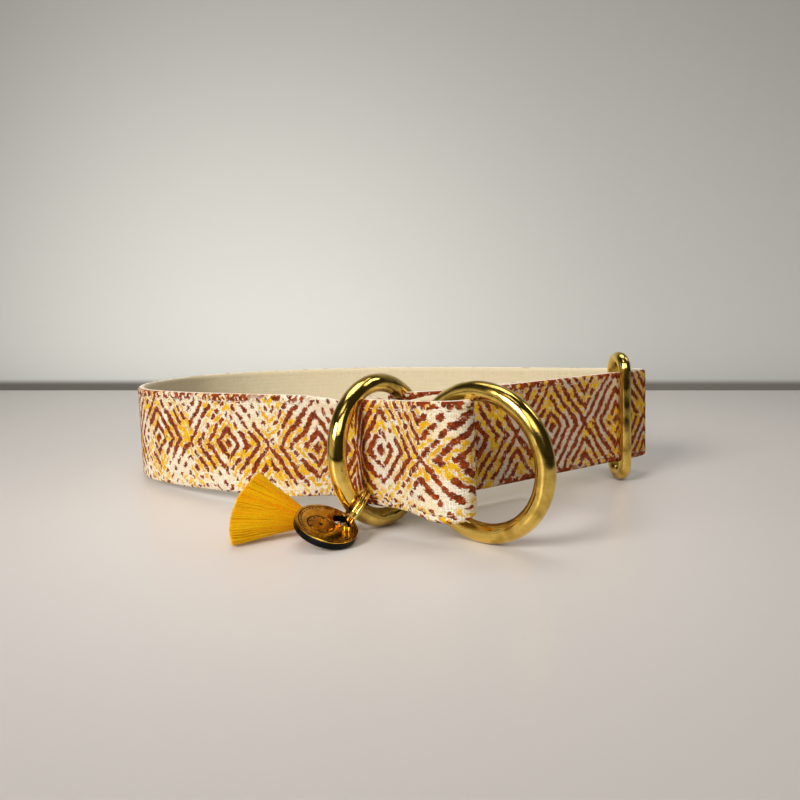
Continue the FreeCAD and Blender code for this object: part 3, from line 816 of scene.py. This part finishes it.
NECK_RING = ((-3.9, -42.0), -53.0, 6.0)
LEASH_RING = ((21.0, -59.1), 39.4, -2.5)
for name, standing in (("neck_ring", NECK_RING), ("leash_ring", LEASH_RING)):
    brass_ring = swept(f"brass_{name}", ring_line(*standing), RING_WIRE / 2 * MM, 48, True, ring_brass)
    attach(brass_ring, name)
    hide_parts(name)

SLIDER_PLACE = np.array([73.83, 8.2])
SLIDER_WIRE = 4.0
SLIDER_HEIGHT = 42.4
SLIDER_BARS = 8.4
SLIDER_ANGLE = math.atan2(0.596, 0.803) - math.radians(27.0)


def slider_line():
    """The middle line of the slider's closed wire loop."""
    half_gap = SLIDER_BARS / 2
    half_bar = SLIDER_HEIGHT / 2 - SLIDER_WIRE / 2 - half_gap
    rise = np.linspace(-half_bar, half_bar, 40)
    bend = np.linspace(0, math.pi, 41)[1:-1]
    loop = [(half_gap, z) for z in rise]
    loop += [(half_gap * math.cos(a), half_bar + half_gap * math.sin(a)) for a in bend]
    loop += [(-x, -z) for x, z in loop]
    away = np.array([-math.sin(SLIDER_ANGLE), math.cos(SLIDER_ANGLE)])
    return stood([(*(SLIDER_PLACE + away * x), HALF_WIDTH + z) for x, z in loop])


slider = swept("brass_slider", slider_line(), SLIDER_WIRE / 2 * MM, 40, True, slider_brass)
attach(slider, "slider")
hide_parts("slider")

SPLIT_CENTRE = np.array([-10.54, -52.19, 7.0]) + PLAN_SHIFT
SPLIT_DROP = unit(-0.525, -0.425, -0.737)
SPLIT_AXIS = unit(*Vector(SPLIT_DROP).cross(Vector((-0.205, 0.905, -0.373))))
SPLIT_SIDE = np.cross(SPLIT_AXIS, SPLIT_DROP)
SPLIT_RADIUS = 5.65
SPLIT_WIRE = 1.0
SPLIT_PITCH = 1.1
SPLIT_TURNS = 1.85
SPLIT_START = 16.0


def split_line():
    """The middle line of the split ring's coil."""
    t = np.linspace(0, SPLIT_TURNS, 260)
    angles = 2 * math.pi * t + math.radians(SPLIT_START)
    rise = SPLIT_PITCH * (t - SPLIT_TURNS / 2)
    coil = round_line(SPLIT_CENTRE, SPLIT_RADIUS, SPLIT_DROP, SPLIT_SIDE, angles)
    return (coil + np.outer(rise, SPLIT_AXIS)) * MM


split_ring = swept("brass_split_ring", split_line(), SPLIT_WIRE / 2 * MM, 20, False, split_ring_brass)
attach(split_ring, "split_ring")
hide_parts("split_ring")

# ---- tag

TAG_CENTRE = np.array([-17.1, -59.55, 5.25]) + PLAN_SHIFT
TAG_UP = unit(0.300, -0.247, 0.921)
TAG_FORWARD = squared((3.47, 3.2, -0.29), TAG_UP)
TAG_SIDE = np.cross(TAG_UP, TAG_FORWARD)
TAG_TURN = Matrix((TAG_FORWARD, TAG_SIDE, TAG_UP)).transposed().to_euler()
TAG_RADIUS = 8.1
TAG_HOLE = 2.5
TAG_HOLE_PLACE = np.array([4.85, 0])
TAG_THICK = 2.2
MIRROR_THICK = 0.4
BORDER_RADIUS = 7.25
BEADS_RADIUS = 6.6
ROSETTE_OFFSET = 1.9
PETAL_LENGTH = 2.9
ROSETTE_RING = 3.4


def tag_gold_material():
    """Gold mirror, with a border, a row of beads and a rosette cut into it."""
    made, n, shader = material("tag_gold")
    from_middle = n.place() - tuple(TAG_CENTRE * MM)
    place = n.got("ShaderNodeVectorRotate", {"Vector": from_middle, "Rotation": tuple(TAG_TURN)},
                  rotation_type="EULER_XYZ", invert=True)
    x, y, _ = n.parts(place * (1000.0, 1000.0, 1000.0))
    rose_x = x + ROSETTE_OFFSET
    radius, rose_radius = [n.math("SQRT", across * across + y * y) for across in (x, rose_x)]
    angle, rose_angle = [n.math("ARCTAN2", y, across) for across in (x, rose_x)]

    def line(off, half, soft):
        return n.ramp(abs(off), half, soft, 1.0, 0.0)

    border = line(radius - BORDER_RADIUS, 0.10, 0.18)
    spaced = n.math("GREATER_THAN", n.math("COSINE", angle * 40.0), 0.2)
    beads = spaced * line(radius - BEADS_RADIUS, 0.16, 0.24)
    petal = abs(n.math("COSINE", rose_angle * 4.0)) * PETAL_LENGTH
    outline = line(rose_radius - petal, 0.16, 0.34)
    ring = line(rose_radius - ROSETTE_RING, 0.14, 0.24)
    eye = n.ramp(rose_radius, 0.45, 0.6, 1.0, 0.0)
    cut = n.most(n.most(border, beads), n.most(n.most(outline, ring), eye))
    clouds = n.noise(place, 260.0, 3.0)
    gold = n.colour_mix(n.ramp(clouds, 0.35, 0.7), colour(208, 164, 62), colour(166, 122, 40))
    n.fill(shader, {"Base Color": n.colour_mix(cut, gold, colour(30, 17, 5)), "Metallic": 1.0,
                    "Roughness": cut * 0.3 + n.ramp(clouds, 0.3, 0.8, 0.08, 0.2),
                    "Normal": n.bump(clouds * 0.25 - cut, 0.00012)})
    return made


def tag_black_material():
    """Gloss black acrylic with faint scuffs."""
    made, n, shader = material("tag_black")
    scuff = n.noise(n.place(), 800.0, 4.0, 0.7)
    n.fill(shader, {"Base Color": n.colour_mix(n.ramp(scuff, 0.5, 0.8), colour(3, 3, 3), colour(18, 17, 16)),
                    "Roughness": n.ramp(scuff, 0.3, 0.8, 0.12, 0.42), "Specular IOR Level": 0.12,
                    "Normal": n.bump(scuff, 0.00004, 0.5)})
    return made


def tag_layer(name, low, high, bevel, surface, around=96, hole_bevel=0.05):
    """A round plate with its hole, as closed rows of points that go up the rim, in, down the hole and out."""
    angles = np.linspace(0, 2 * math.pi, around, endpoint=False)
    circle = np.stack([np.cos(angles), np.sin(angles)], 1)
    rim, hole = circle * TAG_RADIUS, circle * TAG_HOLE + TAG_HOLE_PLACE
    inner_rim = rim * (1 - bevel / TAG_RADIUS)
    wide_hole = circle * (TAG_HOLE + hole_bevel) + TAG_HOLE_PLACE
    rows = [(inner_rim, low), (rim, low + bevel), (rim, high - bevel), (inner_rim, high)]
    rows += [(inner_rim * (1 - share) + hole * share, high) for share in (0.12, 0.4, 0.7, 0.92)]
    rows += [(wide_hole, high), (hole, high - hole_bevel), (hole, low + hole_bevel), (wide_hole, low)]
    rows += [(hole * (1 - share) + inner_rim * share, low) for share in (0.3, 0.7)]
    points = [(TAG_CENTRE + TAG_FORWARD * x + TAG_SIDE * y + TAG_UP * z) * MM
              for row, z in rows for x, y in row]
    piece = mesh_object(name, points, quads(len(rows), around, closed=True), surface)
    piece.data.set_sharp_from_angle(angle=math.radians(35))
    return piece


plate = tag_layer("tag_plate", -TAG_THICK, -MIRROR_THICK, 0.18, tag_black_material())
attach(plate, "tag")
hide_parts("tag_disc")
face = tag_layer("tag_mirror", -MIRROR_THICK, 0.0, 0.08, tag_gold_material())
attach(face, "tag")
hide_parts("tag_face")

# ---- tassel

TASSEL_HEAD = np.array([-22.3, -50.7, 3.5]) + PLAN_SHIFT
TASSEL_AHEAD = unit(-14.7, -7.3, 4.9)
TASSEL_HIGH = squared((0, 0, 1), TASSEL_AHEAD)
TASSEL_DEEP = np.cross(TASSEL_AHEAD, TASSEL_HIGH)
SKIRT_LEAN = math.radians(20.0)
SKIRT_HIGH = TASSEL_HIGH * math.cos(SKIRT_LEAN) + TASSEL_DEEP * math.sin(SKIRT_LEAN)
SKIRT_DEEP = TASSEL_DEEP * math.cos(SKIRT_LEAN) - TASSEL_HIGH * math.sin(SKIRT_LEAN)
HEAD_RADIUS = 2.35
HEAD_END = HEAD_RADIUS * 0.62
CORE_SHARE = 0.86
CORE_ROOT = 1.7
CORE_LENGTH = 16.0
CORE_FLARE_HIGH = 8.2
CORE_FLARE_DEEP = 3.8
BINDING_RADIUS = 2.25
BINDING_TURNS = 4


def tassel_place(ahead, high, deep, upward=TASSEL_HIGH, sideways=TASSEL_DEEP):
    """The frame position of a point given in millimetres from the middle of the tassel's head."""
    return tuple((TASSEL_HEAD + TASSEL_AHEAD * ahead + upward * high + sideways * deep) * MM)


def yarn_material():
    """Glossy yarn, paler towards the threads' ends, with painted glints and painted shade speckled over it.
    """
    made, n, shader = material("tassel_yarn")
    place = n.place()
    lock = n.got("ShaderNodeAttribute", None, "Fac", attribute_name="tone")
    fine = n.noise(place, 3400.0, 2.0, 0.6)
    from_head = n.distance(place, tuple(TASSEL_HEAD * MM)) * 1000.0
    towards_end = n.ramp(from_head, 4.0, 17.0, 0.0, 0.45)
    base = n.colour_mix(n.math("MULTIPLY_ADD", lock, 0.75, towards_end - 0.2),
                        colour(255, 150, 0), colour(255, 212, 6))
    # Painted glints on the fibres.
    base = n.colour_mix(n.ramp(fine, 0.50, 0.64, 0.0, 0.85), base, colour(255, 216, 40))
    # Painted shade between the fibres.
    base = n.colour_mix(n.ramp(fine, 0.30, 0.43, 0.6, 0.0), base, colour(246, 120, 0))
    n.fill(shader, {"Base Color": base, "Roughness": 0.34, "Specular IOR Level": 0.6,
                    "Specular Tint": colour(255, 204, 90), "Sheen Weight": 0.45, "Sheen Roughness": 0.35,
                    "Sheen Tint": colour(255, 172, 12), "Normal": n.bump(fine, 0.00004, 0.5)})
    return made


def threads_tree():
    """Threads that leave a tight root and fan out to a flared, uneven end."""
    tree, n, given, out = node_group(
        "tassel_threads",
        [("Geometry", "Geometry"), ("Threads", "Int"), ("Seed", "Int"),
         *[(size, "Float") for size in ("Root", "Length", "Flare High", "Flare Deep", "Thickness", "Wave")],
         *[(way, "Vector") for way in ("Start", "Ahead", "High", "Deep")], ("Yarn", "Material")],
        [("Geometry", "Geometry")], "GeometryNodeTree")
    index = n.add("GeometryNodeInputIndex")

    def chance(low, high, draw):
        given_here = {2: low, 3: high, "ID": index, "Seed": given["Seed"] + float(draw)}
        return n.got("FunctionNodeRandomValue", given_here, 1, data_type="FLOAT")

    angle = chance(0.0, 2 * math.pi, 1)
    reach = n.math("POWER", chance(0.0, 1.0, 2), 0.5)
    high, deep = n.math("COSINE", angle) * reach, n.math("SINE", angle) * reach
    root = given["Start"] + (n.scaled(given["High"], high * given["Root"])
                             + n.scaled(given["Deep"], deep * given["Root"]))
    shorter = n.math("MULTIPLY_ADD", deep, 0.08, high * n.math("MULTIPLY_ADD", high, 0.135, 0.115))
    long = given["Length"] * (chance(0.975, 1.01, 3) - shorter)
    tip = given["Start"] + (n.scaled(given["Ahead"], long)
                            + n.scaled(given["High"], high * given["Flare High"])
                            + n.scaled(given["Deep"], deep * given["Flare Deep"]))
    points = n.add("GeometryNodePoints", {"Count": given["Threads"]})
    for label, kind, value in (("root", "FLOAT_VECTOR", root), ("tip", "FLOAT_VECTOR", tip),
                               ("tone", "FLOAT", chance(0.0, 1.0, 4))):
        points = n.add("GeometryNodeStoreNamedAttribute", {"Geometry": points, "Name": label, "Value": value},
                       data_type=kind, domain="POINT")
    one = n.add("GeometryNodeCurvePrimitiveLine", {"Start": (0, 0, 0), "End": (0, 0, 0.001)})
    stepped = n.add("GeometryNodeResampleCurve", {"Curve": one, "Count": 9})
    many = n.add("GeometryNodeInstanceOnPoints", {"Points": points, "Instance": stepped})
    real = n.add("GeometryNodeRealizeInstances", {0: many})
    share = n.got("GeometryNodeSplineParameter", None, "Factor")
    stored = [n.add("GeometryNodeInputNamedAttribute", {"Name": label}, data_type="FLOAT_VECTOR")
              for label in ("root", "tip")]
    straight = n.got("ShaderNodeMix", {0: share, 4: stored[0], 5: stored[1]}, 1, data_type="VECTOR")
    wave = n.noise(straight, 260.0, 1.0, output="Color") - (0.5, 0.5, 0.5)
    placed = n.add("GeometryNodeSetPosition", {
        "Geometry": real, "Position": straight + n.scaled(wave, share * given["Wave"] * 3.0)})
    profile = n.add("GeometryNodeCurvePrimitiveCircle", {"Resolution": 4, "Radius": given["Thickness"] * 0.5})
    meshed = n.add("GeometryNodeCurveToMesh", {"Curve": placed, "Profile Curve": profile, "Fill Caps": True})
    smooth = n.add("GeometryNodeSetShadeSmooth", {0: meshed})
    n.fill(out, {0: n.add("GeometryNodeSetMaterial", {"Geometry": smooth, "Material": given["Yarn"]})})
    return tree


def tassel_core():
    """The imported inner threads, as one solid fan whose surface is ridged along its length."""
    around, along = 480, 16
    start = HEAD_END - 0.3
    points = []
    for share in np.arange(along + 1) / along:
        for a in 2 * math.pi * np.arange(around) / around:
            ridge = CORE_SHARE * (1 - 0.04 * (0.5 + 0.5 * math.cos(a * 96 + 2 * math.sin(7 * a))))
            high, deep = math.cos(a) * ridge, math.sin(a) * ridge
            long = CORE_LENGTH - 2.1 * high * high - 1.8 * high - 1.4 * deep
            points.append(tassel_place(start + long * share,
                                       high * (CORE_ROOT + (CORE_FLARE_HIGH - CORE_ROOT) * share),
                                       deep * (CORE_ROOT + (CORE_FLARE_DEEP - CORE_ROOT) * share),
                                       SKIRT_HIGH, SKIRT_DEEP))
    faces = quads(along + 1, around) + ends(along + 1, around)[:1]
    first, tip = along * around, len(points)
    points.append(tassel_place(start + CORE_LENGTH, 0, 0))
    faces.extend((first + k, first + (k + 1) % around, tip) for k in range(around))
    piece = mesh_object("tassel_core", points, faces, tassel_yarn)
    tone = piece.data.attributes.new("tone", "FLOAT", "POINT")
    tone.data.foreach_set("value", np.full(len(points), 0.6, np.float32))
    return piece


def tassel_head():
    """The tassel's round head, with the folds of its threads."""
    around, along = 64, 40
    points = []
    for polar in math.pi * (0.004 + 0.992 * np.arange(along + 1) / along):
        for a in 2 * math.pi * np.arange(around) / around:
            fold = 1 + 0.035 * math.cos(a * 16 + 0.4 * math.sin(3 * a))
            radius = HEAD_RADIUS * math.sin(polar) * fold
            points.append(tassel_place(-HEAD_RADIUS * math.cos(polar) * 0.98,
                                       radius * math.cos(a), radius * math.sin(a)))
    faces = quads(along + 1, around) + ends(along + 1, around)
    return mesh_object("tassel_head_wound", points, faces, tassel_yarn)


def binding_line():
    """The middle line of the thread wound round the tassel's neck."""
    turns = np.linspace(0, 2 * math.pi * BINDING_TURNS, 240)
    return [tassel_place(HEAD_END - 0.35 + 0.9 * t / turns[-1], BINDING_RADIUS * math.cos(t),
                         BINDING_RADIUS * math.sin(t)) for t in turns]


tassel_yarn = yarn_material()
skirt = put_in_scene("tassel_threads", bpy.data.meshes.new("tassel_threads"))
baked(skirt, threads_tree(), {
    "Threads": 2600, "Seed": 4, "Root": 1.9 * MM, "Length": 19.3 * MM, "Flare High": 9.4 * MM,
    "Flare Deep": 4.2 * MM, "Thickness": 0.34 * MM, "Wave": 0.25 * MM,
    "Start": tassel_place(HEAD_END - 0.4, 0, 0), "Ahead": tuple(TASSEL_AHEAD),
    "High": tuple(SKIRT_HIGH), "Deep": tuple(SKIRT_DEEP), "Yarn": tassel_yarn})
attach(skirt, "tassel")
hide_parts("tassel_skirt")

core = tassel_core()
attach(core, "tassel")

head = tassel_head()
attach(head, "tassel")
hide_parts("tassel_head")

binding = swept("tassel_wrap", binding_line(), 0.2 * MM, 8, False, tassel_yarn)
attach(binding, "tassel")
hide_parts("tassel_binding")

for cord_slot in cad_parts["tassel_cord"].material_slots:
    cord_slot.material = tassel_yarn

# ---- floor, wall and light

TABLE_FRONT = -0.26
TABLE_EDGE = 0.243
WALL_PLACE = 0.266


def pale_surface(name, base, roughness, grain, middle, falloff_reach, falloff_shade, band, shade_colour):
    """A pale surface with painted light falloff, greyer away from its middle, and a band of painted shadow
    across an axis.
    """
    made, n, shader = material(name)
    place = n.place()

    def dimmed(share):
        return tuple(c * share for c in base[:3]) + (1.0,)

    shade = n.colour_mix(n.noise(place, grain), base, dimmed(0.97))
    # Painted light falloff, greyer away from the middle of the pool of light.
    shade = n.colour_mix(n.ramp(n.distance(place, middle), 0.02, falloff_reach), shade, dimmed(falloff_shade))
    axis, *reach = band
    # A painted shadow band across one axis.
    shade = n.colour_mix(n.ramp(n.parts(place)[axis], *reach), shade, shade_colour)
    n.fill(shader, {"Base Color": shade, "Roughness": roughness, "Specular IOR Level": 0.3})
    return made


def slab(name, low, high, surface):
    """A flat-sided block of the setting."""
    corners = [(x, y, z) for x in (low[0], high[0]) for y in (low[1], high[1]) for z in (low[2], high[2])]
    faces = [(0, 1, 3, 2), (4, 6, 7, 5), (0, 4, 5, 1), (2, 3, 7, 6), (0, 2, 6, 4), (1, 5, 7, 3)]
    mesh_object(name, corners, faces, surface, smooth=False)


def softbox(name, place, aim, size, power, tint, spread):
    """A soft rectangular lamp, aimed at a place."""
    lamp = bpy.data.lights.new(name, "AREA")
    lamp.shape = "RECTANGLE"
    lamp.size, lamp.size_y = size
    lamp.energy = power
    lamp.color = tint
    lamp.spread = math.radians(spread)
    box = put_in_scene(name, lamp)
    box.location = place
    box.rotation_euler = (Vector(aim) - Vector(place)).to_track_quat("-Z", "Y").to_euler()


# The table darkens to near black at its front, a painted shadow.
table_white = pale_surface("table_white", colour(219, 213, 208), 0.34, 3.0, (-0.02, -0.04, 0.0), 0.16, 0.76,
                           (1, -0.163, -0.215), colour(16, 13, 10))
# The wall darkens in a thin band at its foot, a painted shadow where it meets the table.
wall_white = pale_surface("wall_white", colour(234, 235, 229), 0.9, 2.0, (-0.13, WALL_PLACE, 0.0), 0.32, 0.68,
                          (2, 0.0005, 0.0052, 1.0, 0.0), colour(122, 118, 110))
slab("table_top", (-1.2, TABLE_FRONT, -0.03), (1.2, TABLE_EDGE, 0.0), table_white)
slab("wall_back", (-1.2, WALL_PLACE, -0.6), (1.2, WALL_PLACE + 0.02, 1.2), wall_white)

softbox("key_left", (-0.76, -0.86, 0.66), (0.02, 0.03, 0.02), (0.5, 0.5), 1.30, (1.0, 0.98, 0.95), 44.0)
softbox("front_fill", (0.10, -0.95, 0.75), (0.0, 0.0, 0.02), (0.95, 0.6), 0.64, (1.0, 0.985, 0.96), 50.0)
softbox("back_top", (0.0, 0.15, 0.70), (0.0, -0.03, 0.0), (0.55, 0.38), 0.30, (1.0, 0.985, 0.965), 60.0)
softbox("right_high", (0.42, 0.10, 0.46), (0.02, -0.02, 0.02), (0.08, 0.22), 0.05, (1.0, 0.985, 0.96), 70.0)
softbox("wall_glow", (-0.16, -0.20, 0.55), (-0.10, 0.266, 0.01), (0.3, 0.2), 0.085, (1.0, 0.99, 0.97), 60.0)


def room_light():
    """A dim room round the set, brighter at its left and behind."""
    world = bpy.data.worlds.new("room")
    world.use_nodes = True
    world.node_tree.nodes.clear()
    n = Wiring(world.node_tree)
    x, y, z = n.parts(n.got("ShaderNodeTexCoord", None, "Generated"))
    left_side = n.ramp(x, -0.95, -0.35, 0.75, 0.0)
    low_dark = n.ramp(z, -0.12, 0.03, 0.01, 0.04)
    behind = n.ramp(y, 0.1, 0.8, 0.0, 0.30)
    above_floor = n.ramp(z, -0.02, 0.05)
    sides = left_side * n.ramp(z, 0.55, 0.1) * above_floor
    strength = sides + behind * above_floor + low_dark
    room = n.add("ShaderNodeBackground", {"Color": colour(222, 214, 206), "Strength": strength})
    n.add("ShaderNodeOutputWorld", {"Surface": room})
    return world


bpy.context.scene.world = room_light()

CAMERA_PLACE = (0.0030, -0.2527, 0.06278)
CAMERA_DIP = 7.909  # degrees below level

camera = bpy.data.cameras.new("camera")
camera.lens = 36.0
camera.sensor_width = 36.0
camera.clip_start = 0.01
camera_stand = put_in_scene("camera", camera)
camera_stand.location = CAMERA_PLACE
camera_stand.rotation_euler = (math.radians(90 - CAMERA_DIP), 0.0, 0.0)
bpy.context.scene.camera = camera_stand
bpy.context.scene.view_settings.view_transform = "Standard"
